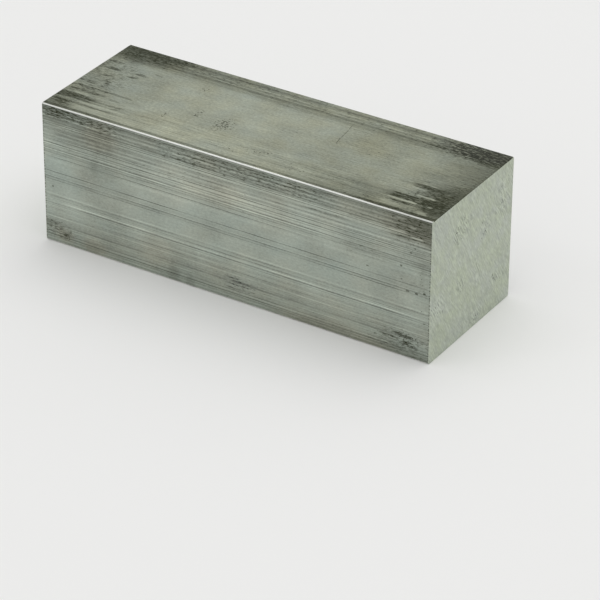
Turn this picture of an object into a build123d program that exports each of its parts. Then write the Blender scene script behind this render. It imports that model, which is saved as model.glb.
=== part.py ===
"""Aluminium block: one sawn length of extruded square bar.

Frame: millimetres, +X along the bar, +Z up. The origin is the middle of the face that the block lies on.
"""

import os

from build123d import *

# Driving dimensions
side = 35.0  # across the flats of the square section
length = 101.0  # between the two sawn ends
corner_radius = 0.5  # the die's radius along the four long edges
sawn_edge_break = 0.15  # chamfer left where the saw's burr is taken off, all round each end

with BuildPart() as block:
    # The extruded section: a square with the die's corner radii, standing on the frame's base plane
    with BuildSketch(Plane.YZ.offset(-length / 2)):
        with Locations((0, side / 2)):
            RectangleRounded(side, side, corner_radius)
    extrude(amount=length)

    # Both ends are cut square by the saw, and the burr is taken off their rims
    sawn_ends = block.faces().filter_by(Axis.X)
    chamfer(sawn_ends.edges(), length=sawn_edge_break)

block.part.label = "block"

os.makedirs("parts", exist_ok=True)
export_step(block.part, "parts/block.step")
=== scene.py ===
"""Looks of an aluminium block: a sawn length of extruded square bar, marked by die, saw and storage.

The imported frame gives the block's place and size. A finely divided mesh, with the die's lines and the
saw's grooves cut into it, stands for the plain solid, and each of its six sides has a finish of its own.
Finishes are laid out in millimetres from the middle of their side.
"""

import logging
import math
from dataclasses import dataclass
from enum import Enum
from typing import Callable, Self, Union

import bmesh
import bpy
from mathutils import Matrix, Vector

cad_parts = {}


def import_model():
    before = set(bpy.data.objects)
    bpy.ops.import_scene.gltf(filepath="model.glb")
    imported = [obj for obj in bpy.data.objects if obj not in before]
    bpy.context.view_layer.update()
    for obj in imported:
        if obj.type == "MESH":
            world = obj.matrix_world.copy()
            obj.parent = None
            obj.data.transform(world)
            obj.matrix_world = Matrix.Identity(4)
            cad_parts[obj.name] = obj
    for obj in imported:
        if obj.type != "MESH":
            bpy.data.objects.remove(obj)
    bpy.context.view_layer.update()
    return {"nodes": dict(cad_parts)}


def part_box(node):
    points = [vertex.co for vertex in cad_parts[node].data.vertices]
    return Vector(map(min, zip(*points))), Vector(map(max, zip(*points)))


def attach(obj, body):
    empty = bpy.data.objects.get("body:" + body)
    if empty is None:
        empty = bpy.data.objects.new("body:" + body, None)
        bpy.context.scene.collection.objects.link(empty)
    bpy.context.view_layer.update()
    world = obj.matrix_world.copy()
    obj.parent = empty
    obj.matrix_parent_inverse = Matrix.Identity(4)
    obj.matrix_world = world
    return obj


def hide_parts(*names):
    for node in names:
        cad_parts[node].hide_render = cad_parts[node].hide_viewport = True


LOG = logging.getLogger("aluminium_block")
MM = 0.001  # one millimetre in the frame's metres

Colour = tuple[float, float, float]
Span = tuple[float, float]
Value = Union["Signal", float]


class Signal:
    """One output socket of a node, used in Python sums as if it were a number."""

    def __init__(self, sheet: "NodeSheet", socket: bpy.types.NodeSocket) -> None:
        """Keep the socket and the sheet that it is drawn on."""
        self.sheet = sheet
        self.socket = socket

    def __add__(self, other: Value) -> "Signal":
        """This value plus another."""
        return self.sheet.maths("ADD", self, other)

    def __sub__(self, other: Value) -> "Signal":
        """This value less another."""
        return self.sheet.maths("SUBTRACT", self, other)

    def __rsub__(self, other: float) -> "Signal":
        """A number less this value."""
        return self.sheet.maths("SUBTRACT", other, self)

    def __mul__(self, other: Value) -> "Signal":
        """This value times another."""
        return self.sheet.maths("MULTIPLY", self, other)

    def __truediv__(self, other: Value) -> "Signal":
        """This value divided by another."""
        return self.sheet.maths("DIVIDE", self, other)

    def __abs__(self) -> "Signal":
        """This value without its sign."""
        return self.sheet.maths("ABSOLUTE", self)

    __radd__ = __add__
    __rmul__ = __mul__

    def beside(self, output: str) -> "Signal":
        """Another output of the same node."""
        return Signal(self.sheet, self.socket.node.outputs[output])


class NodeSheet:
    """A node tree as it is drawn up, for a finish or for a relief in a mesh."""

    def __init__(self, tree: bpy.types.NodeTree) -> None:
        """Start on a tree with nothing in it."""
        self.tree = tree
        self.tree.nodes.clear()

    def add(
        self,
        kind: str,
        settings: dict[str, object] | None = None,
        sockets: dict[str, object] | None = None,
    ) -> Signal | None:
        """Add one node.

        Args:
            kind: The node's type, such as "ShaderNodeTexNoise".
            settings: The node's own properties, set before its sockets are.
            sockets: A value, an opaque colour or a Signal for each input, by the socket's identifier.

        Returns:
            The node's first output, or nothing where it has none.
        """
        node = self.tree.nodes.new(kind)
        for name, value in (settings or {}).items():
            setattr(node, name, value)
        inputs = {socket.identifier: socket for socket in node.inputs}
        for name, value in (sockets or {}).items():
            if isinstance(value, Signal):
                self.tree.links.new(value.socket, inputs[name])
            elif inputs[name].type == "RGBA":
                inputs[name].default_value = (*value, 1.0)
            else:
                inputs[name].default_value = value
        return Signal(self, node.outputs[0]) if node.outputs else None

    def maths(self, operation: str, first: Value, second: Value = 0.0) -> Signal:
        """One Math node, by what it does and its one or two values."""
        return self.add("ShaderNodeMath", {"operation": operation}, {"Value": first, "Value_001": second})

    def larger(self, first: Value, second: Value) -> Signal:
        """The larger of two values."""
        return self.maths("MAXIMUM", first, second)

    def step(self, value: Signal, start: Value, end: Value) -> Signal:
        """A smooth step: 0 up to start, 1 from end on, which may lie below start."""
        return self.add(
            "ShaderNodeMapRange",
            {"interpolation_type": "SMOOTHSTEP"},
            {"Value": value, "From Min": start, "From Max": end},
        )

    def vector_maths(self, operation: str, sockets: dict[str, object]) -> Signal:
        """One Vector Math node, by what it does and its sockets' values."""
        return self.add("ShaderNodeVectorMath", {"operation": operation}, sockets)

    def scaled(self, vector: Signal, factor: Value) -> Signal:
        """A vector times a value."""
        return self.vector_maths("SCALE", {"Vector": vector, "Scale": factor})

    def point(self, across: Value, down: Value, deep: Value = 0.0) -> Signal:
        """A vector of three values."""
        return self.add("ShaderNodeCombineXYZ", {}, {"X": across, "Y": down, "Z": deep})

    def noise(self, settings: dict[str, object], sockets: dict[str, object]) -> Signal:
        """Soft noise of unit grain, from about -0.5 to 0.5."""
        return self.add("ShaderNodeTexNoise", settings, {"Scale": 1.0, **sockets}) - 0.5

    def blend(self, factor: Value, first: Signal | Colour, second: Signal | Colour) -> Signal:
        """A colour between two others, the first at 0 and the second at 1."""
        sockets = {"Factor_Float": factor, "A_Color": first, "B_Color": second}
        mixed = self.add("ShaderNodeMix", {"data_type": "RGBA"}, sockets)
        return Signal(self, mixed.socket.node.outputs[2])

    def bare_metal(self, colour: Signal, rough: Signal, height: Signal) -> Signal:
        """A metal shader, by its colour, its roughness and its fine relief in millimetres."""
        bump = self.add("ShaderNodeBump", {}, {"Height": height, "Distance": MM, "Strength": 1.0})
        return self.add(
            "ShaderNodeBsdfPrincipled",
            {},
            {"Base Color": colour, "Metallic": 1.0, "Roughness": rough, "Normal": bump},
        )


class Side(Enum):
    """The block's six sides, by the way that they face."""

    FRONT = (0, -1, 0)
    TOP = (0, 0, 1)
    BACK = (0, 1, 0)
    BASE = (0, 0, -1)
    RIGHT_END = (1, 0, 0)
    LEFT_END = (-1, 0, 0)


@dataclass(frozen=True)
class Extent:
    """Half the block's length and half its width, in millimetres."""

    half_length: float
    half_width: float


@dataclass(frozen=True)
class Place:
    """A point on a side, in millimetres from the side's middle, and the seed of that side's noise."""

    along: Signal
    across: Signal
    seed: float

    @property
    def sheet(self) -> NodeSheet:
        """The sheet that the point is drawn up on."""
        return self.along.sheet

    def shifted(self, along: Value, across: Value) -> "Place":
        """This point moved by so much."""
        return Place(self.along + along, self.across + across, self.seed)

    def turned(self, angle: float) -> "Place":
        """This point on axes turned by an angle in radians."""
        cosine, sine = math.cos(angle), math.sin(angle)
        return Place(
            self.along * cosine + self.across * sine, self.across * cosine - self.along * sine, self.seed
        )

    def lines(self, pitch: float, times: float = 1.0) -> Signal:
        """Noise in lines of that pitch along the bar, around 0, from so many times the side's seed."""
        spot = self.across / pitch + self.seed * times
        return self.sheet.noise({"noise_dimensions": "1D"}, {"W": spot, "Detail": 1.0})

    def near_line(self, across: float, outer: float, inner: float) -> Signal:
        """How far the point lies in a line: 0 past its outer half width, 1 within its inner one."""
        return self.sheet.step(abs(self.across - across), outer, inner)

    def between(self, start: float, end: float, fade: float) -> Signal:
        """How far the point lies in a stretch of the bar that fades in and out."""
        begun = self.sheet.step(self.along, start, start + fade)
        return begun * self.sheet.step(self.along, end, end - fade)


@dataclass(frozen=True)
class Grain:
    """A noise's grain: its length, its width, a seed, its finer layers and the bounds of its patches."""

    length: float
    width: float
    seed: float
    layers: float = 2.0
    rough: float = 0.5
    bounds: Span = (-0.2, 0.2)

    def at(self, place: Place) -> Signal:
        """The noise at a place, from about -0.5 to 0.5."""
        sheet, seed = place.sheet, self.seed + place.seed
        spot = sheet.point(place.along / self.length, place.across / self.width, seed)
        return sheet.noise({}, {"Vector": spot, "Detail": self.layers, "Roughness": self.rough})

    def patches(self, place: Place, more: Value = 0.0) -> Signal:
        """Patches of strong noise, 0 below its bounds and 1 above them, which grow with more."""
        return place.sheet.step(self.at(place) + more, *self.bounds)


class Mark:
    """A mark on a side, of any kind."""

    @classmethod
    def rows(cls, *rows: tuple) -> tuple[Self, ...]:
        """One mark of this kind for each row of values, in the order of its fields."""
        return tuple(cls(*row) for row in rows)


@dataclass(frozen=True)
class DieLine(Mark):
    """A line from the die: its place, its tone (dark below 0), its half width and its run, if short."""

    across: float
    tone: float
    half_width: float = 0.17
    run: Span | None = None
    fade: float = 14.0
    core: float = 0.2  # share of the half width that has the full tone

    def mask(self, place: Place) -> Signal:
        """How far a point lies in the line, from 0 to 1."""
        inside = place.near_line(self.across, self.half_width, self.core * self.half_width)
        return inside * place.between(*self.run, self.fade) if self.run else inside


@dataclass(frozen=True)
class LineBand(Mark):
    """A band where the die's lines change: its middle, its half width and the change in their strength."""

    across: float
    half_width: float
    change: float
    core: float = 0.6  # share of the half width that has the full change

    def change_at(self, place: Place) -> Signal:
        """The change at a point."""
        return place.near_line(self.across, self.half_width, self.core * self.half_width) * self.change


@dataclass(frozen=True)
class Stain(Mark):
    """A patch of dirt or wear: its middle, its reach, its share and how far out that share is full."""

    along: float
    across: float
    reach_along: float
    reach_across: float
    share: float = 1.0
    core: float = 0.1

    def share_at(self, place: Place) -> Signal:
        """The share that it covers at a point."""
        way = place.sheet.point(
            (place.along - self.along) / self.reach_along, (place.across - self.across) / self.reach_across
        )
        spread = place.sheet.vector_maths("LENGTH", {"Vector": way}).beside("Value")
        return self.share * place.sheet.step(spread, 1.0, self.core)


@dataclass(frozen=True)
class Streak(Mark):
    """A dirty or wiped run along the bar: its place, its half width, its two ends, its share and fades."""

    across: float
    half_width: float
    start: float
    end: float
    share: float
    fade: float = 3.0
    outer: float = 1.15  # half widths to where its soft edge ends
    inner: float = 0.75  # half widths to where its soft edge starts

    def share_at(self, place: Place) -> Signal:
        """The share that it covers at a point."""
        inside = place.near_line(self.across, self.outer * self.half_width, self.inner * self.half_width)
        return inside * place.between(self.start, self.end, self.fade) * self.share


@dataclass(frozen=True)
class Scratch(Mark):
    """A fine scratch or a small dent from handling: its two ends, its half width and its strength."""

    start: Span
    end: Span
    half_width: float
    strength: float = 0.8
    taper: float = 1.3  # its length against the part of it at full strength

    def mask(self, place: Place) -> Signal:
        """How strongly the mark shows at a point.

        Args:
            place: The point.

        Returns:
            A value from 0 to the mark's strength.
        """
        run = Vector(self.end) - Vector(self.start)
        middle = (Vector(self.start) + Vector(self.end)) / 2
        half_run = run.length / 2
        turned = place.shifted(-middle.x, -middle.y).turned(math.atan2(run.y, run.x))
        beside = place.sheet.step(abs(turned.across), self.half_width, 0.0)
        return beside * place.sheet.step(abs(turned.along), half_run, half_run / self.taper) * self.strength


Marks = tuple[Stain | Streak, ...]


@dataclass(frozen=True)
class Metal:
    """The aluminium's own colours: dull and bright metal, a warm tinge, the grime on it and a worn edge."""

    dull: Colour
    bright: Colour
    warm_dull: Colour
    warm_bright: Colour
    grime: Colour
    grey_grime: Colour = (0.043, 0.045, 0.041)
    worn_edge: Colour = (0.90, 0.91, 0.88)


TOP_METAL = Metal(
    dull=(0.072, 0.08, 0.069),
    bright=(0.721, 0.8, 0.684),
    warm_dull=(0.078, 0.08, 0.059),
    warm_bright=(0.785, 0.8, 0.58),
    grime=(0.037, 0.042, 0.02),
)
SIDE_METAL = Metal(
    dull=(0.071, 0.08, 0.072),
    bright=(0.706, 0.8, 0.711),
    warm_dull=(0.078, 0.08, 0.067),
    warm_bright=(0.775, 0.8, 0.668),
    grime=(0.039, 0.042, 0.022),
)
SAWN_METAL = Metal(
    dull=(0.19, 0.21, 0.17),
    bright=(0.632, 0.683, 0.56),
    warm_dull=(0.19, 0.21, 0.185),
    warm_bright=(0.636, 0.678, 0.604),
    grime=(0.11, 0.12, 0.09),
)


def covered(marks: Marks, place: Place) -> Value:
    """The share that marks laid over one another cover together at a place."""
    return 1.0 - math.prod(1.0 - mark.share_at(place) for mark in marks)


@dataclass(frozen=True)
class Finish:
    """What every side's finish shares: its side, its metal, a seed for its noise, pits and scratches."""

    name: str
    side: Side
    metal: Metal
    seed: float
    pit_clusters: Marks = ()
    pit_grain: Grain = Grain(0.6, 0.46, 47, layers=1, bounds=(0.28, 0.35))
    pit_crowding: float = 0.29
    scratches: tuple[Scratch, ...] = ()
    mark_cover: float = 0.75  # how far pits and scratches are filled with grime

    def place(self, position: Signal, extent: Extent) -> Place:
        """Find a point's place on the side.

        Args:
            position: The point in the block's frame, in millimetres.
            extent: The block's half sizes.

        Returns:
            The place: along the bar and across it on a drawn side, level and upright on a sawn end.
        """
        x = position.sheet.add("ShaderNodeSeparateXYZ", {}, {"Vector": position})
        y = x.beside("Y")
        height = x.beside("Z") - extent.half_width
        if self.side in (Side.LEFT_END, Side.RIGHT_END):
            return Place(y, height, self.seed)
        return Place(x, y if self.side in (Side.TOP, Side.BASE) else height, self.seed)

    def material(self, extent: Extent) -> bpy.types.Material:
        """Make the side's material.

        Args:
            extent: The block's half sizes.

        Returns:
            The finished material.
        """
        material = bpy.data.materials.new(self.name)
        material.use_nodes = True
        sheet = NodeSheet(material.node_tree)
        position = sheet.scaled(sheet.add("ShaderNodeTexCoord").beside("Object"), 1 / MM)
        shader = self.shader(self.place(position, extent), extent)
        sheet.add("ShaderNodeOutputMaterial", {}, {"Surface": shader})
        return material

    def metal_colour(self, tone: Signal, warmth: Signal) -> Signal:
        """The bare metal's colour.

        Args:
            tone: 0 for dull, 1 for bright.
            warmth: 0 for cool, 1 for warm.

        Returns:
            The colour.
        """
        cool = tone.sheet.blend(tone, self.metal.dull, self.metal.bright)
        warm = tone.sheet.blend(tone, self.metal.warm_dull, self.metal.warm_bright)
        return tone.sheet.blend(warmth, cool, warm)

    def marks(self, place: Place) -> Signal:
        """Lay pits, scratches and dents over one another.

        Args:
            place: Where.

        Returns:
            How far that point lies in one of them, from 0 to about 1.
        """
        marks = self.pit_grain.patches(place, covered(self.pit_clusters, place) * self.pit_crowding)
        for scratch in self.scratches:
            marks = place.sheet.larger(scratch.mask(place), marks)
        return marks

    def shader(self, place: Place, extent: Extent) -> Signal:
        """Draw up the side's shader at a place, on a block of that extent."""
        raise NotImplementedError

    def depth(self, place: Place) -> Signal:
        """How deep the side's relief is cut at a place, in millimetres."""
        raise NotImplementedError


@dataclass(frozen=True)
class DrawnFinish(Finish):
    """A side as the die left it: fine lines along the bar, dirt from storage at its rims and ends.

    A tone is a share of the way from dull to bright metal. Pitches, widths and depths are in millimetres.
    """

    line_tone: float = 0.2
    fine_line_tone: float = 0.14
    streak_tone: float = 0.2
    grain_tone: float = 0.5
    cloud_tone: float = 0.35
    base_tone: float = 0.5
    warmth: float = 0.5
    warmth_spread: float = 1.4
    mottle: float = 1.5
    smear: float = 2.0
    blotch: float = 0.5
    ragged_along: float = 9.0
    ragged_across: float = 0.7
    rim_nicks: float = 0.5
    lines: tuple[DieLine, ...] = ()
    bands: tuple[LineBand, ...] = ()
    films: Marks = ()  # thin dirt with soft bounds, and soft bands darker towards a rim
    smudges: Marks = ()  # dirt rubbed on over all else
    stains: Marks = ()  # dirt with ragged bounds
    wiped: Marks = ()  # runs rubbed bare again
    flecked: Marks = ()  # where small dark dashes crowd
    greyed: Marks = ()  # where the dirt is grey
    tints: Marks = ()  # where the metal is warmer, or cooler below 0

    fine_grain: Grain = Grain(0.7, 0.42, 17, layers=3, rough=0.75)
    streak_grain: Grain = Grain(6, 0.36, 53, rough=0.55)
    cloud_grain: Grain = Grain(9, 8, 19, layers=3)
    dash_grain: Grain = Grain(1.3, 0.27, 29, rough=0.55, bounds=(0.2, 0.28))
    presence_grain: Grain = Grain(14, 0.9, 5)
    tinge_grain: Grain = Grain(8, 6, 23, layers=3)
    smear_grain: Grain = Grain(5, 0.4, 41, layers=3, rough=0.6)
    mottle_grain: Grain = Grain(0.8, 0.46, 43, layers=3, rough=0.75)
    blotch_grain: Grain = Grain(4, 1.8, 59, layers=3, rough=0.6)
    rubbed_grain: Grain = Grain(7, 3, 71, bounds=(-0.15, 0.15))
    waver_along: Grain = Grain(6, 1.1, 31, layers=4, rough=0.7)
    waver_across: Grain = Grain(3.2, 1.8, 37, layers=3)
    sway_along: Grain = Grain(14, 5, 61)
    sway_across: Grain = Grain(14, 9, 67)
    sway: Span = (10.0, 0.6)  # how far films wander along and across
    fray: Span = (2.5, 0.5)  # how far smudges and wiped runs do

    wide_pitch: float = 2.4
    narrow_pitch: float = 0.7
    fine_pitch: float = 0.24
    fine_bounds: Span = (-0.12, 0.12)
    nick_pitch: float = 0.45
    nick_bounds: Span = (-0.04, 0.06)
    rim: Span = (0.55, 0.25)  # from an end to where its nicks start and are full
    worn: Span = (0.35, 0.24)  # from a corner to where its wear starts and is full
    grime_cover: float = 0.91
    fleck_cover: float = 0.4
    roughness: float = 0.42
    line_depth: float = 0.012
    line_height: float = 0.008
    grain_height: float = 0.01
    mark_depth: float = 0.03

    def broad_lines(self, place: Place) -> Signal:
        """The die's broader lines, around 0."""
        return place.lines(self.wide_pitch) * 0.2 + place.lines(self.narrow_pitch, 3.0) * 0.45

    def liveliness(self, place: Place) -> Value:
        """How strong the die's lines are at a place, against 1 elsewhere."""
        return sum((band.change_at(place) for band in self.bands), 1.0)

    def depth(self, place: Place) -> Signal:
        """How deep the die's lines are cut at a place, in millimetres."""
        cut = place.sheet.larger(0.5 - self.broad_lines(place), 0.0)
        return sum((line.mask(place) * abs(line.tone) for line in self.lines), cut) * self.line_depth

    def grime(self, place: Place) -> Signal:
        """How much grime lies at a point.

        Films and stains are broken up by the surface's texture. Smudges lie over them unbroken.

        Args:
            place: Where.

        Returns:
            About 0 where the metal is clean, about 1 where it is covered.
        """
        along, across = self.waver_along.at(place), self.waver_across.at(place)
        ragged = place.shifted(along * self.ragged_along, across * self.ragged_across)
        frayed = place.shifted(along * self.fray[0], across * self.fray[1])
        along, across = self.sway_along.at(place), self.sway_across.at(place)
        swayed = place.shifted(along * self.sway[0], across * self.sway[1])

        film = covered(self.films, swayed)
        dirt = covered(self.stains, ragged)
        broken = 1.0 - (1.0 - film) * (1.0 - dirt)
        texture = self.mottle_grain.at(place) * self.mottle + self.smear_grain.at(place) * self.smear
        texture = texture + self.blotch_grain.at(place) * self.blotch
        rubbed = 0.5 + self.rubbed_grain.patches(place) * 0.9
        breaking_up = broken * (1.25 - broken) + dirt * (1.0 - dirt) * 1.2
        broken = broken + texture * rubbed * breaking_up
        total = 1.0 - (1.0 - broken) * (1.0 - covered(self.smudges, frayed))
        return total * (1.0 - covered(self.wiped, frayed))

    def shader(self, place: Place, extent: Extent) -> Signal:
        """Draw up the drawn side's shader.

        Args:
            place: Where on the side.
            extent: The block's half sizes.

        Returns:
            The shader.
        """
        sheet = place.sheet
        grime = self.grime(place)

        # Lines, grain and clouds in the bare metal
        fine = sheet.step(place.lines(self.fine_pitch, 7.0), *self.fine_bounds) - 0.5
        presence = self.presence_grain.patches(place)
        lines = self.broad_lines(place) * self.line_tone
        lines = lines + fine * (0.4 + presence * 1.2) * self.fine_line_tone
        streaks = self.streak_grain.at(place) * self.streak_tone
        named = sum(line.mask(place) * line.tone for line in self.lines)
        tone = self.base_tone + (lines + streaks) * self.liveliness(place) + named * (0.6 + presence * 1.6)
        grain = self.fine_grain.at(place)
        tone = tone + grain * self.grain_tone + self.cloud_grain.at(place) * self.cloud_tone
        warmth = self.tinge_grain.at(place) * self.warmth_spread + self.warmth
        warmth = sum((tint.share_at(place) for tint in self.tints), warmth)
        metal = self.metal_colour(tone, warmth)

        # Grime, flecks and marks over it
        dashes = self.dash_grain.at(place)
        crowded = dashes + grime * 0.16 + covered(self.flecked, place) * 0.22
        flecks = sheet.step(crowded, *self.dash_grain.bounds)
        bare = sheet.step(grime * 0.1 - dashes, *self.dash_grain.bounds)
        nicks = sheet.step(place.lines(self.nick_pitch), *self.nick_bounds)
        rim = sheet.step(abs(place.along), *(extent.half_length - width for width in self.rim))
        marks = sheet.larger(nicks * rim * self.rim_nicks, self.marks(place))
        dirty = grime * (self.grime_cover - bare * 0.25) + flecks * self.fleck_cover
        cover = sheet.larger(dirty, marks * self.mark_cover)
        soil = sheet.blend(covered(self.greyed, place), self.metal.grime, self.metal.grey_grime)
        metal = sheet.blend(cover, metal, soil)

        # The worn edge, the roughness and the fine relief
        worn = sheet.step(abs(place.across), *(extent.half_width - width for width in self.worn))
        worn = worn * (1.0 - grime * 0.45)
        metal = sheet.blend(worn, metal, self.metal.worn_edge)
        rough = self.roughness + grain * 0.2 + grime * 0.15 - worn * 0.2
        height = fine * self.line_height + grain * self.grain_height - marks * self.mark_depth
        return sheet.bare_metal(metal, rough, height)


@dataclass(frozen=True)
class SawnFinish(Finish):
    """A sawn end: short slanting grooves from the saw's teeth, rougher in patches where the metal tore."""

    torn: Marks = ()
    groove_angle: float = math.radians(-60.0)
    groove_depth: float = 0.05

    wide_grooves: Grain = Grain(9, 1.5, 0, layers=1)
    narrow_grooves: Grain = Grain(4, 0.7, 5)
    scale_grain: Grain = Grain(4, 0.44, 9, layers=3, rough=0.65)
    fine_grain: Grain = Grain(1.8, 0.3, 15, rough=0.6)
    tick_grain: Grain = Grain(1.7, 0.34, 21, bounds=(0.21, 0.3))
    torn_grain: Grain = Grain(8, 5, 27, bounds=(0.1, 0.75))
    hairline_grain: Grain = Grain(6, 0.3, 51, layers=1, bounds=(0.16, 0.24))
    fleck_grain: Grain = Grain(3, 1.4, 33, layers=3, bounds=(-0.1, 0.16))
    cloud_grain: Grain = Grain(9, 6, 39, bounds=(-0.12, 0.16))
    base_tone: float = 0.78
    roughness: float = 0.66
    scale_height: float = 0.05
    grain_height: float = 0.02
    mark_depth: float = 0.05

    def grooves(self, cut: Place) -> Signal:
        """The saw's grooves, around 0, at a place on axes turned along them."""
        return self.wide_grooves.at(cut) + self.narrow_grooves.at(cut) * 0.8

    def tearing(self, place: Place) -> Signal:
        """How far the metal is torn at a place, from 0 to 1."""
        ragged = self.torn_grain.at(place) * 0.8 + covered(self.torn, place)
        return place.sheet.step(ragged, *self.torn_grain.bounds)

    def depth(self, place: Place) -> Signal:
        """How deep the saw's grooves are cut at a place, in millimetres."""
        grooves = self.grooves(place.turned(self.groove_angle))
        return place.sheet.larger(0.5 - grooves, 0.0) * self.groove_depth

    def shader(self, place: Place, extent: Extent) -> Signal:
        """Draw up the sawn end's shader.

        Args:
            place: Where on the end.
            extent: The block's half sizes; not used here.

        Returns:
            The shader.
        """
        sheet = place.sheet
        cut = place.turned(self.groove_angle)
        scales = self.scale_grain.at(cut)
        grain = self.fine_grain.at(cut)
        torn = self.tearing(place)
        tone = self.base_tone + self.grooves(cut) * 0.28
        tone = tone + scales * (0.5 + torn * 1.1) + grain * (0.9 + torn * 0.7)
        tone = tone - self.tick_grain.patches(cut, torn * 0.11) * 0.85
        tone = tone + self.hairline_grain.patches(cut) * 0.22
        warmth = self.fleck_grain.patches(cut) * 0.45 + self.cloud_grain.patches(place) * 0.7
        metal = self.metal_colour(tone, warmth)
        marks = self.marks(place)
        metal = sheet.blend(marks * self.mark_cover, metal, self.metal.grime)
        rough = self.roughness + scales * 0.2
        height = scales * self.scale_height + grain * self.grain_height - marks * self.mark_depth
        return sheet.bare_metal(metal, rough, height)


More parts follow.
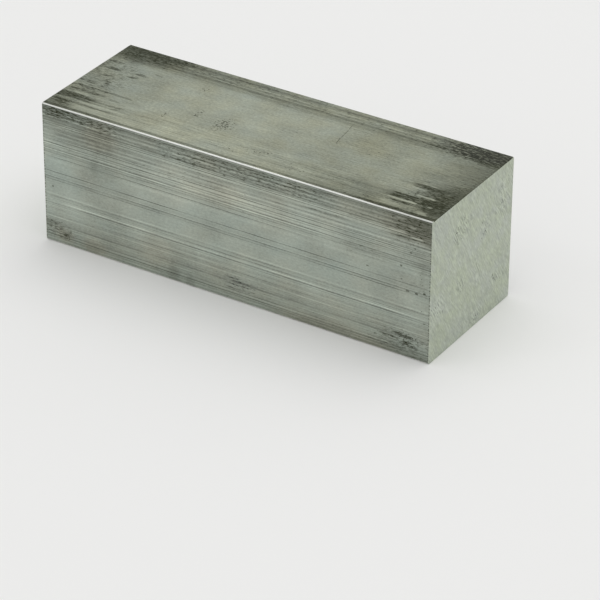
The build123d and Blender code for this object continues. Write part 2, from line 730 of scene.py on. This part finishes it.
# The six sides, where a row of values makes one mark
TOP_FINISH = DrawnFinish(
    name="drawn_top", side=Side.TOP, metal=TOP_METAL, seed=3, line_tone=0.1, fine_line_tone=0.03,
    streak_tone=0.26, grain_tone=0.75,
    bands=LineBand.rows((-11.8, 5.5, 1.3)),
    lines=DieLine.rows(
        (16.7, 0.06, 0.6), (15.6, -0.12, 0.5), (14.35, 0.13, 0.4), (13.6, -0.06, 0.3), (13.15, 0.06, 0.3),
        (11.6, 0.03, 0.3), (3.85, 0.03, 0.3), (-9, 0.04, 0.3), (-10.75, -0.04, 0.3), (-12.45, 0.05, 0.35),
        (-13.5, -0.04, 0.35), (-14.6, 0.05, 0.35),
    ),
    films=Stain.rows(
        (0, 17.5, 400, 9, 0.38, 0.5), (-26, 17.5, 24, 6.5, 0.14, 0.4), (-54, 2, 33, 60, 0.25),
        (18, 2, 9, 20, 0.05, 0.3), (-52, -12, 16, 7, 0.3, 0.3), (5, -10, 32, 9, 0.07, 0.3),
        (22, -2, 22, 24, 0.07, 0.4), (56, 3, 23, 40, 0.69), (44, 0, 34, 60, 0.16, 0.45),
        (40, -16, 32, 9, 0.32, 0.35),
    ) + Streak.rows(
        (12.4, 0.42, -60, 60, 0.36), (11.1, 0.8, -60, 60, 0.16), (-10.5, 0.5, -4, 40, 0.1, 8),
        (-13.4, 0.4, 2, 38, 0.12, 8), (-15.5, 0.45, -6, 40, 0.12, 8), (7, 5, 14.5, 33, 0.04, 4),
        # The runs at -16.6 and -16.7 darken a thin band along the whole front rim, beside the edge's
        # highlight.
        (-11.2, 0.9, 10, 42, 0.14, 8), (-16.7, 0.45, -60, 60, 0.52), (-16.6, 0.55, -60, -24, 0.5, 16),
        (-16.7, 0.6, 26, 60, 0.8, 12),
    ),
    smudges=Stain.rows(
        (-41, 17.5, 13, 8.8, 0.58, 0.35), (-50, 14, 9, 7, 0.28, 0.3), (53, -7.5, 13.5, 11, 0.72, 0.35),
        (49.5, -13.5, 6.5, 3.2, 0.56, 0.4), (41.2, -8.4, 0.5, 1.7, 0.45, 0.3),
        (40.9, -2.75, 1.3, 0.4, 0.35, 0.3),
    ) + Streak.rows(
        (-16.3, 0.45, 35.5, 43, 0.4, 1.5), (-5.1, 0.4, 34.5, 40, 0.22, 2),
    ),
    stains=Stain.rows(
        (-47, 17.5, 19, 9, 0.3, 0.5), (51, 17.5, 20, 9.4, 0.38, 0.55), (49, 11.2, 6.5, 1.2, 0.45, 0.4),
        (-49.8, 5, 1.8, 6, 0.25, 0.3), (-46.5, 5, 2.8, 0.8, 0.55, 0.4), (-39.6, 5.6, 2.2, 0.8, 0.5, 0.4),
        (-40.4, 3.6, 2, 0.7, 0.5, 0.4), (-44, -1.5, 0.9, 3.2, 0.42, 0.4), (-48.5, 8.2, 2.6, 0.8, 0.45, 0.4),
        (-46, 1.6, 2.4, 0.7, 0.4, 0.4), (-48, -3.2, 2.6, 0.9, 0.36, 0.4),
        (-42.5, -7.6, 3.2, 0.7, 0.38, 0.4), (-37, -8.3, 2.6, 0.5, 0.32, 0.4),
        (-36, 7.4, 1.6, 0.5, 0.3, 0.4), (-49, -15, 6, 3.2, 0.5, 0.5),
    ) + Streak.rows(
        (-5.6, 0.35, -60, -32, 0.43, 3), (-7, 1.2, -60, -41, 0.2, 3), (-10.8, 1.25, -60, -40, 0.52, 2),
        (-10.9, 1.3, -60, -46, 0.45, 2), (-10.7, 0.35, -60, -31, 0.45, 3), (-11.75, 0.3, -60, -32, 0.36, 3),
        (-13.6, 0.36, -60, -32, 0.44, 4), (-5.1, 0.85, 37.5, 47.5, 0.62, 2), (-11, 1.2, 36, 60, 0.72, 2),
        (-13.45, 0.42, 36, 43, 0.68, 2),
    ),
    wiped=Streak.rows(
        (15, 2.6, 2, 38, 0.2, 8), (-9.1, 0.4, -48.5, -42, 0.6, 1.5), (-12.6, 0.45, -46, -30, 0.65, 4),
        (-14.6, 0.45, -45, -28, 0.6, 4), (-4, 0.25, 39.5, 44.5, 0.6, 1.2), (-6.35, 0.28, 38, 43, 0.7, 1.2),
        (-9, 0.36, 41, 47, 0.75, 1.5), (-12.45, 0.38, 36, 44.5, 0.8, 1.5), (-12.4, 0.3, 46, 48, 0.5, 0.8),
        (-15, 0.8, 35.5, 42, 0.35, 1), (-15.5, 0.7, 45, 48, 0.6, 0.8),
    ),
    flecked=Stain.rows(
        (-46, 0, 11, 16, 0.72, 0.35), (0, 15.5, 400, 4, 0.36, 0.4), (44, -10, 9, 8, 0.45, 0.3),
        (41, 13.5, 12, 4.5, 0.7, 0.4),
    ),
    greyed=Stain.rows((44, 16, 14, 6.5, 0.5, 0.5)),
    tints=Stain.rows(
        (-21, -11, 9, 6, 0.4), (-3, -10, 10, 6, 0.2), (24, 6, 9, 9, 0.3), (-42, 3, 10, 12, -0.38),
        (-35, -6, 6, 6, -0.22), (-12, 6, 5, 9, -0.25),
    ),
    pit_clusters=Stain.rows(
        (-10.5, -4.5, 4.8, 6.4), (-17.8, -3, 2, 3.8), (4, -10.5, 5, 1.6, 0.9), (32.8, -15, 2.6, 2),
        (16.5, 8, 5, 5.5, 0.45, 0.4), (-23, 7.5, 2.4, 1.6, 0.9), (-24, -7.5, 1.8, 2.4),
        (27, 4, 10, 8, 0.45, 0.4), (-3, -12.5, 10, 3.5, 0.5, 0.4), (16, -13, 10, 3, 0.5, 0.4),
    ),
    scratches=Scratch.rows(
        ((13.3, 11.9), (13.9, 8.5), 0.2), ((13.95, 8.6), (14.45, 4.2), 0.24),
        ((14.35, 4.4), (14.85, 1.7), 0.2, 1), ((14.7, 1.7), (15.4, 1.4), 0.26, 0.7),
        ((4.9, 1.2), (5.4, 1), 0.3), ((31.8, -13.3), (32.2, -14), 0.32), ((32.2, -14.5), (33, -15.3), 0.32),
        ((31.2, -15.9), (31.9, -16.1), 0.4), ((32.8, -15.9), (33.4, -16.1), 0.34),
    ),
)
FRONT_FINISH = DrawnFinish(
    name="drawn_front", side=Side.FRONT, metal=SIDE_METAL, seed=41, base_tone=0.51, warmth=0.38,
    warmth_spread=1.2, mottle=1.3, smear=1.7, blotch=0.4, ragged_along=3, ragged_across=0.4,
    rim_nicks=1,
    lines=DieLine.rows(
        (16.7, -0.11), (16.05, -0.1), (15.65, 0.08), (15.25, -0.11), (14.8, 0.12), (14.4, -0.06),
        (13.7, -0.11), (13.05, 0.08, 0.3), (12.35, 0.11), (11.65, -0.09), (10.9, 0.08), (10.55, -0.1),
        (10.15, 0.12), (9.45, -0.09), (8.95, -0.08), (8.5, 0.19, 0.17, (-63, 31)), (8.05, -0.17),
        (7.7, 0.13, 0.17, (-63, 31)), (7.15, 0.12, 0.17, (-52, 31)), (6.75, -0.14, 0.17, (-52, 31)),
        (6.4, 0.19, 0.17, (-59, 29)), (6, -0.06), (5.6, -0.06), (4.9, 0.09), (4.55, -0.18, 0.17, (-53, 21)),
        (3.8, 0.05, 0.5), (0.78, -0.13), (-0.6, -0.09), (-1.2, -0.12), (-4.95, 0.1), (-5.45, -0.07),
        (-6.3, -0.16, 0.17, (-21, 31)), (-6.8, 0.26, 0.17, (-51, 55)), (-7.2, -0.15, 0.17, (-47, 53)),
        (-8.1, 0.07), (-8.65, -0.07), (-9.4, 0.09), (-9.9, -0.15, 0.17, (-45, 29)), (-10.75, 0.12),
        (-11.5, -0.08), (-12.6, -0.14), (-13, 0.07), (-13.65, 0.11), (-14.8, -0.08), (-15.1, 0.08),
        (-15.55, -0.16), (-16.5, 0.08),
    ),
    bands=LineBand.rows((14.8, 3.2, 0.9), (9.2, 5.4, 0.5), (2.6, 2, -0.8), (-3.1, 2.1, -0.8)),
    films=Stain.rows(
        (0, 17.5, 400, 5.2, 0.2, 0.72), (0, 17.5, 400, 8, 0.14, 0.65), (0, 7.5, 400, 3.5, 0.06, 0.6),
        # The film centred at -19 darkens the side towards its bottom along its whole length.
        (0, -19, 400, 13.5, 0.18, 0.2), (-40, 15.5, 18, 8, 0.22, 0.3), (-36, 8, 18, 8, 0.24, 0.3),
        (-36, 0.5, 12, 7, 0.15, 0.3), (-34, -9, 10, 8, 0.1, 0.3), (46, 15, 17, 5.5, 0.18, 0.4),
        (40, 6, 18, 9, 0.11, 0.3), (53, 0, 10, 20, 0.19), (-14.5, -10, 5, 4, 0.1),
    ) + Streak.rows(
        (16.8, 0.8, -60, 60, 0.1), (-0.3, 1.6, -60, 60, 0.045), (-5.6, 0.7, -60, 60, 0.05),
        # The last run darkens the bottom rim from the middle to the right end.
        (-16.9, 1.2, -2, 80, 0.24, 26),
    ),
    smudges=Stain.rows(
        (-36.5, 5.5, 1.4, 4.8, 0.13, 0.3), (-35.3, 12.5, 1.8, 5.5, 0.19, 0.3),
        (-32.7, 12.5, 1.6, 5, 0.18, 0.3), (49.5, 15, 13, 5, 0.42, 0.35), (48.3, 3.5, 1.1, 5.5, 0.14, 0.2),
        (-49.8, -12.8, 2.4, 1.3, 0.26, 0.3), (-15.5, -16, 2.5, 5, 0.25, 0.2), (-11, -17, 2, 4, 0.24, 0.2),
        (-37.5, -16, 4, 2.6, 0.2, 0.2), (2, -13, 6.5, 2.4, 0.04, 0.3), (-48, -14, 7, 3.2, 0.14, 0.3),
        (-44.8, -15, 1.3, 2.2, 0.15, 0.2),
    ),
    stains=Stain.rows(
        (50, 16, 10, 5, 0.16, 0.3), (-47, 16, 7, 2.4, 0.26, 0.3),
    ) + Streak.rows(
        (11.9, 0.22, 40, 54, 0.36, 3), (16, 0.22, -10, 22, 0.22, 6), (15.25, 0.22, -16, 24, 0.22, 6),
        (13.7, 0.2, -26, -2, 0.2, 6), (11.8, 0.22, 17, 30, 0.35, 4), (-11.7, 0.2, -2.5, 3, 0.35, 2),
        (-12.4, 0.22, -1, 8.5, 0.3, 2.5), (-13.2, 0.22, -3, 6.5, 0.3, 2.5), (-14.3, 0.22, -2, 4, 0.3, 2.5),
        (-12, 0.42, 41, 44, 0.56, 1.6), (-12.4, 0.3, 43, 46.6, 0.62, 1.6), (-13.3, 0.24, 37, 43.5, 0.36, 2),
        (-13.9, 0.46, 43, 46.6, 0.58, 1.6), (-14.5, 0.32, 45.2, 48, 0.56, 1.4),
        (-16.8, 0.3, 44, 52, 0.34, 2), (-15.3, 0.22, 22, 52, 0.24, 6), (-12.1, 0.3, -52, -46, 0.24, 1.5),
        (-14.9, 0.26, -48, -42, 0.22, 1.5),
    ),
    wiped=Streak.rows(
        (12.35, 0.24, 45.3, 48.6, 0.75, 0.8), (13.05, 0.26, 39.5, 44.5, 0.6, 1.2),
        (11.2, 0.5, 45, 49.5, 0.45, 1), (14.6, 0.22, 44.5, 46.6, 0.5, 0.8), (16.2, 0.25, 41, 44.5, 0.4, 1),
    ),
    flecked=Streak.rows(
        (15, 1.9, -24, 28, 0.55, 8), (15.9, 1.4, -54, -26, 0.55, 6),
    ) + Stain.rows(
        (-8, 9, 24, 5, 0.35, 0.3), (44, 12.5, 10, 5, 0.25, 0.3), (2, -13, 8, 2.8, 0.55, 0.3),
        (43.5, -13.6, 11, 4.2, 0.72, 0.35), (33, 6.3, 5.5, 1.1, 0.5, 0.4), (-47, -14, 6.5, 3.4, 0.75, 0.3),
    ),
    greyed=Stain.rows((2, -13, 7, 3, 0.8, 0.4)),
    tints=Stain.rows(
        (-35, 13, 7, 5, 0.9), (0, 15.5, 22, 3, 0.25), (46, 14.5, 14, 5, 0.8), (34, 14.5, 16, 3.5, 0.35),
        (-45, -15, 4, 3, 0.6), (0, 9.5, 30, 6, 0.22, 0.4), (5, -12, 60, 5, 0.2, 0.4), (28, -17, 24, 4, 0.9),
        (-20, -12, 7, 7, 0.4), (-37, -15.5, 5, 3, 0.9), (-4, 8, 16, 5, 0.3), (-47, 0, 9, 9, -0.45),
        (10, 0, 40, 5, -0.15),
    ),
    pit_clusters=Stain.rows(
        (48, 1, 5, 11, 0.42), (45, -13, 6, 3.5, 0.9), (-44.5, -15, 2.4, 2.6, 0.95),
        (-41, 15.8, 3, 1.6, 0.8), (46, 10.5, 4, 3, 0.6),
    ),
    scratches=Scratch.rows(
        ((44.4, -0.9), (45.3, -0.9), 0.45, 0.9), ((46.6, -0.95), (47.4, -0.95), 0.42, 1.1),
        ((48.6, -0.45), (49.3, -0.45), 0.48, 1.2), ((34.4, 2.2), (35.1, 2.2), 0.32, 0.9),
        ((45.1, 8.6), (45.7, 8.6), 0.42, 1), ((42.8, 4.8), (43.4, 4.8), 0.42, 1),
        ((43, 1.6), (43.5, 1.6), 0.32), ((48.8, -7.8), (49.4, -7.8), 0.34),
        ((-48.4, -3), (-47.8, -3), 0.38),
    ),
)
BACK_FINISH = DrawnFinish(
    name="drawn_back", side=Side.BACK, metal=SIDE_METAL, seed=83, base_tone=0.52, warmth=0.38,
    warmth_spread=1.2, mottle=1.3, smear=1.7, blotch=0.4, ragged_along=4, ragged_across=0.4,
    lines=DieLine.rows(
        (13.4, 0.12), (11.2, -0.14), (10.6, 0.1), (8.8, -0.1), (6, 0.18), (5.5, -0.14), (-2.4, -0.12),
        (-5.9, 0.1), (-7.6, 0.2), (-8.1, -0.14), (-11, 0.1), (-13.2, -0.12),
    ),
    bands=LineBand.rows((2, 2.6, -0.7), (-12, 3, 0.4)),
    films=Stain.rows(
        # The film centred at -19 darkens the side towards its bottom along its whole length.
        (0, 17.5, 400, 5.4, 0.26, 0.65), (0, -19, 400, 12, 0.22, 0.2), (-52, 6, 22, 18, 0.28),
        (54, -4, 18, 20, 0.3),
    ),
    stains=Stain.rows(
        (-49, 13.5, 12, 5, 0.55, 0.3), (48, -13, 10, 4, 0.5, 0.3),
    ) + Streak.rows(
        (15.3, 0.25, -30, 18, 0.45, 8), (-13.9, 0.3, 20, 52, 0.45, 8), (9, 0.3, -60, -34, 0.4, 8),
    ),
    flecked=Streak.rows(
        (15, 1.6, -34, 20, 0.5, 8),
    ) + Stain.rows(
        (46, -13.5, 9, 3.4, 0.7, 0.3), (-47, 13, 8, 4, 0.6, 0.3),
    ),
    pit_clusters=Stain.rows((-20, 4, 9, 6, 0.5, 0.3), (46, 4, 6, 10, 0.44)),
)
BASE_FINISH = DrawnFinish(
    name="drawn_base", side=Side.BASE, metal=TOP_METAL, seed=127, line_tone=0.12, fine_line_tone=0.04,
    streak_tone=0.26, grain_tone=0.75,
    lines=DieLine.rows((14, -0.12, 0.4), (9.3, 0.08, 0.3), (-6.4, -0.08, 0.3), (-12.8, 0.1, 0.3)),
    films=Stain.rows(
        (-20, 17.5, 70, 7, 0.4, 0.4), (30, -17.5, 60, 7, 0.4, 0.4), (54, 0, 24, 40, 0.55),
        (-54, 4, 24, 40, 0.5),
    ),
    stains=Stain.rows(
        (48, 13, 12, 6, 0.6, 0.4),
    ) + Streak.rows(
        (-8, 0.7, -60, -38, 0.6, 6), (4.5, 0.5, 36, 60, 0.55, 6), (-3, 0.8, 40, 60, 0.6, 2),
    ),
    flecked=Stain.rows((47, 2, 9, 14, 0.5, 0.3), (-47, -5, 9, 10, 0.45, 0.3)),
    pit_clusters=Stain.rows((-8, 3, 9, 6, 0.55, 0.3), (18, -6, 7, 5, 0.5, 0.3)),
)
RIGHT_END_FINISH = SawnFinish(
    name="sawn_right_end", side=Side.RIGHT_END, metal=SAWN_METAL, seed=211,
    torn=Stain.rows(
        (-4.5, 9.5, 6.5, 5, 0.9), (5.5, 5.5, 4, 5, 0.8), (13, 9, 5.5, 9, 0.7), (-14.5, -5.5, 5, 4.5, 0.9),
        (-4.5, -4, 3, 3.5, 0.8), (2.5, -5, 3, 5, 0.6), (11.5, -9.5, 5.5, 4, 0.45), (2, -15, 8, 3.5, 0.6),
    ),
    pit_clusters=Stain.rows((-6.7, 10, 2.6, 1.6, 0.7), (-5, -3.3, 0.9, 0.9, 0.8)),
    scratches=Scratch.rows(
        ((9.55, -8.1), (9.75, -8.9), 0.34), ((10, -9.1), (10.25, -9.8), 0.34),
        ((14.45, -9.9), (14.65, -10.8), 0.4, 0.6), ((-2.9, 10.9), (-2.75, 10.2), 0.3, 0.7),
        ((-1, 10.9), (-0.9, 10.2), 0.28, 0.7), ((2, -1.5), (2.25, -2.4), 0.26, 0.6),
        ((-12.35, -6.4), (-12.05, -7.2), 0.3, 0.7), ((1.9, -15.6), (2.1, -16.3), 0.3, 0.7),
    ),
)
LEFT_END_FINISH = SawnFinish(
    name="sawn_left_end", side=Side.LEFT_END, metal=SAWN_METAL, seed=307,
    torn=Stain.rows(
        (-9, 7, 11, 9, 0.6), (4, -8, 10, 8, 0.55), (12, 4, 8, 12, 0.5), (-11, -12, 9, 6, 0.55),
        (5, 13, 9, 6, 0.5),
    ),
    scratches=Scratch.rows(
        ((-8.1, 6.4), (-7.9, 5.6), 0.34), ((4, -9), (4.2, -9.8), 0.34),
        ((10.9, 3.4), (11.1, 2.6), 0.3, 0.7), ((-11.1, -12), (-10.9, -12.7), 0.3, 0.7),
        ((6, 12.3), (6.2, 11.6), 0.28, 0.7),
    ),
)
FINISHES = (TOP_FINISH, FRONT_FINISH, BACK_FINISH, BASE_FINISH, RIGHT_END_FINISH, LEFT_END_FINISH)


@dataclass
class SawnBlock:
    """The block itself: a length of square bar with the die's corner radii and the saw's square ends."""

    low: Vector
    high: Vector
    corner_radius: float = 0.5 * MM
    corner_steps: int = 5
    sawn_edge_break: float = 0.15 * MM
    section_cuts: tuple[int, int] = (12, 11)
    length_cuts: int = 39
    smooth_angle: float = math.radians(30.0)
    aligned: float = 0.999  # least share of an edge's length that runs along its axis
    facing: Span = (0.98, 0.999)  # how squarely a point faces out where relief starts and is full

    @property
    def size(self) -> Vector:
        """The block's length, width and height."""
        return self.high - self.low

    @property
    def extent(self) -> Extent:
        """Half the block's length and width, in millimetres."""
        return Extent(self.size.x / 2 / MM, self.size.z / 2 / MM)

    def build(self) -> bpy.types.Object:
        """Model the block.

        Returns:
            The finished object, with its place in its mesh.
        """
        bpy.ops.object.select_all(action="DESELECT")
        bpy.ops.mesh.primitive_cube_add(size=1.0, location=(self.low + self.high) / 2, scale=self.size)
        block = bpy.context.object
        block.name = "sawn_block"
        bpy.ops.object.transform_apply(location=True, rotation=True, scale=True)
        bpy.ops.object.mode_set(mode="EDIT")
        self.round_long_edges()
        self.break_sawn_edges()
        self.divide()
        bpy.ops.object.mode_set(mode="OBJECT")
        self.cut_relief(block)
        bpy.ops.object.shade_smooth_by_angle(angle=self.smooth_angle)
        self.dress(block)
        return block

    def select_edges(self, wanted: Callable[[bmesh.types.BMEdge], bool]) -> None:
        """Select edges of the block that is in edit mode, and no others.

        Args:
            wanted: The test that picks them.
        """
        data = bpy.context.object.data
        bpy.ops.mesh.select_mode(type="EDGE")
        bpy.ops.mesh.select_all(action="DESELECT")
        mesh = bmesh.from_edit_mesh(data)
        for edge in mesh.edges:
            edge.select_set(wanted(edge))
        bmesh.update_edit_mesh(data)

    def runs_along(self, edge: bmesh.types.BMEdge, axis: int) -> bool:
        """Whether an edge lies along that axis and is longer than the small edges of the corners."""
        run = edge.verts[1].co - edge.verts[0].co
        return abs(run[axis]) > 2 * self.corner_radius and abs(run[axis]) > self.aligned * run.length

    def lies_in_an_end(self, edge: bmesh.types.BMEdge) -> bool:
        """Whether both of an edge's points lie in the same sawn end."""
        return abs(edge.verts[0].co.x - edge.verts[1].co.x) < self.corner_radius

    def round_long_edges(self) -> None:
        """Give the four long edges the die's radius."""
        self.select_edges(lambda edge: self.runs_along(edge, 0))
        bpy.ops.mesh.bevel(offset=self.corner_radius, segments=self.corner_steps, affect="EDGES")

    def break_sawn_edges(self) -> None:
        """Take the burr off the rim of both ends."""
        self.select_edges(self.lies_in_an_end)
        bpy.ops.mesh.bevel(offset=self.sawn_edge_break, segments=1, affect="EDGES")

    def divide(self) -> None:
        """Divide the sides and ends finely enough for the relief."""
        middle = (self.low + self.high) / 2
        for axis, width in ((1, self.size.y), (2, self.size.z)):
            normal = Vector((0.0, 0.0, 0.0))
            normal[axis] = 1.0
            for towards in (-1, 1):
                bpy.ops.mesh.select_all(action="SELECT")
                plane = middle + normal * (towards * (width / 2 - self.corner_radius))
                bpy.ops.mesh.bisect(plane_co=plane, plane_no=normal)
        for axis in (1, 2):
            for cuts in self.section_cuts:
                self.select_edges(lambda edge: self.runs_along(edge, axis))
                bpy.ops.mesh.subdivide(number_cuts=cuts)
        self.select_edges(lambda edge: self.runs_along(edge, 0))
        bpy.ops.mesh.subdivide(number_cuts=self.length_cuts)

    def cut_relief(self, block: bpy.types.Object) -> None:
        """Cut the die's lines and the saw's grooves into the mesh.

        Args:
            block: The divided block.
        """
        tree = bpy.data.node_groups.new("surface_relief", "GeometryNodeTree")
        tree.interface.new_socket("Mesh", in_out="INPUT", socket_type="NodeSocketGeometry")
        result = tree.interface.new_socket("Mesh", in_out="OUTPUT", socket_type="NodeSocketGeometry")
        sheet = NodeSheet(tree)
        mesh = sheet.add("NodeGroupInput")
        position = sheet.scaled(sheet.add("GeometryNodeInputPosition"), 1 / MM)
        normal = sheet.add("GeometryNodeInputNormal")
        cut = 0.0
        for finish in FINISHES:
            ways = {"Vector": normal, "Vector_001": finish.side.value}
            facing = sheet.vector_maths("DOT_PRODUCT", ways).beside("Value")
            place = finish.place(position, self.extent)
            cut = finish.depth(place) * sheet.step(facing, *self.facing) + cut
        offset = sheet.scaled(normal, cut * -MM)
        moved = sheet.add("GeometryNodeSetPosition", {}, {"Geometry": mesh, "Offset": offset})
        sheet.add("NodeGroupOutput", {}, {result.identifier: moved})
        modifier = block.modifiers.new("surface_relief", "NODES")
        modifier.node_group = tree
        bpy.ops.object.modifier_apply(modifier=modifier.name)
        bpy.data.node_groups.remove(tree)

    def dress(self, block: bpy.types.Object) -> None:
        """Give each side its finish.

        Args:
            block: The finished mesh.
        """
        for finish in FINISHES:
            block.data.materials.append(finish.material(self.extent))
        ways = [Vector(finish.side.value) for finish in FINISHES]
        for face in block.data.polygons:
            likeness = [face.normal.dot(way) for way in ways]
            face.material_index = likeness.index(max(likeness))


@dataclass(frozen=True)
class SoftBox:
    """A square studio light: the way to it from the block, its distance, its width and its power."""

    name: str
    way: tuple[float, float, float]
    distance: float
    width: float
    power: float

    def hang(self, target: Vector) -> None:
        """Hang the light.

        Args:
            target: The point that it faces.
        """
        way = Vector(self.way).normalized()
        bpy.ops.object.light_add(type="AREA", location=target + way * self.distance)
        light = bpy.context.object
        light.name = self.name
        light.rotation_euler = way.to_track_quat("Z", "Y").to_euler()
        light.data.size = self.width
        light.data.energy = self.power


@dataclass(frozen=True)
class Studio:
    """The floor, the light and the camera around the block."""

    floor_radius: float = 4.0
    floor_corners: int = 96
    floor_colour: Colour = (0.88, 0.88, 0.87)
    floor_roughness: float = 0.9
    sky: float = 0.66
    boxes: tuple[SoftBox, ...] = (
        SoftBox("edge_light", (-0.46, -0.50, 0.73), 0.8, 0.14, 0.16),
        SoftBox("overhead_light", (0.10, 0.15, 1.0), 1.2, 1.4, 6.0),
    )
    camera_place: tuple[float, float, float] = (0.3499, -0.5480, 0.3753)
    camera_azimuth: float = math.radians(32.043)
    camera_elevation: float = math.radians(30.563)
    camera_roll: float = math.radians(0.407)
    camera_near: float = 0.01
    focal_length: float = 200.08
    sensor_width: float = 36.0

    def lay_floor(self) -> None:
        """Lay a wide round floor of pale matt board."""
        bpy.ops.object.select_all(action="DESELECT")
        bpy.ops.mesh.primitive_circle_add(
            vertices=self.floor_corners, radius=self.floor_radius, fill_type="NGON"
        )
        floor = bpy.context.object
        floor.name = "floor"
        board = bpy.data.materials.new("pale_board")
        board.use_nodes = True
        sheet = NodeSheet(board.node_tree)
        look = {"Base Color": self.floor_colour, "Roughness": self.floor_roughness}
        shader = sheet.add("ShaderNodeBsdfPrincipled", {}, look)
        sheet.add("ShaderNodeOutputMaterial", {}, {"Surface": shader})
        floor.data.materials.append(board)

    def light(self, target: Vector) -> None:
        """Light the room softly from all round and from the soft boxes.

        Args:
            target: The point that the boxes face.
        """
        world = bpy.data.worlds.new("soft_room")
        world.use_nodes = True
        sheet = NodeSheet(world.node_tree)
        glow = sheet.add("ShaderNodeBackground", {}, {"Color": (1.0, 1.0, 1.0), "Strength": self.sky})
        sheet.add("ShaderNodeOutputWorld", {}, {"Surface": glow})
        bpy.context.scene.world = world
        bpy.context.scene.view_settings.view_transform = "Standard"
        for box in self.boxes:
            box.hang(target)

    def place_camera(self) -> None:
        """Stand the camera where it sees the block's top, front and right end."""
        bpy.ops.object.camera_add(location=self.camera_place)
        camera = bpy.context.object
        camera.name = "camera"
        turn = Matrix.Rotation(self.camera_azimuth, 3, "Z")
        tilt = Matrix.Rotation(math.pi / 2 - self.camera_elevation, 3, "X")
        roll = Matrix.Rotation(self.camera_roll, 3, "Z")
        camera.rotation_euler = (turn @ tilt @ roll).to_euler()
        camera.data.lens = self.focal_length
        camera.data.sensor_width = self.sensor_width
        camera.data.clip_start = self.camera_near
        bpy.context.scene.camera = camera


def main() -> None:
    """Build the block and the studio around it."""
    logging.basicConfig(level=logging.INFO, format="%(name)s: %(message)s")
    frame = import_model()
    LOG.info("frame: %s", ", ".join(frame["nodes"]))

    low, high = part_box("block")
    block = SawnBlock(low, high).build()
    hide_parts("block")
    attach(block, "root")
    LOG.info("%s: %d faces, %d finishes", block.name, len(block.data.polygons), len(FINISHES))

    studio = Studio()
    studio.lay_floor()
    studio.light((low + high) / 2)
    studio.place_camera()
    LOG.info("studio: floor, %d soft boxes and camera", len(studio.boxes))


if __name__ == "__main__":
    main()
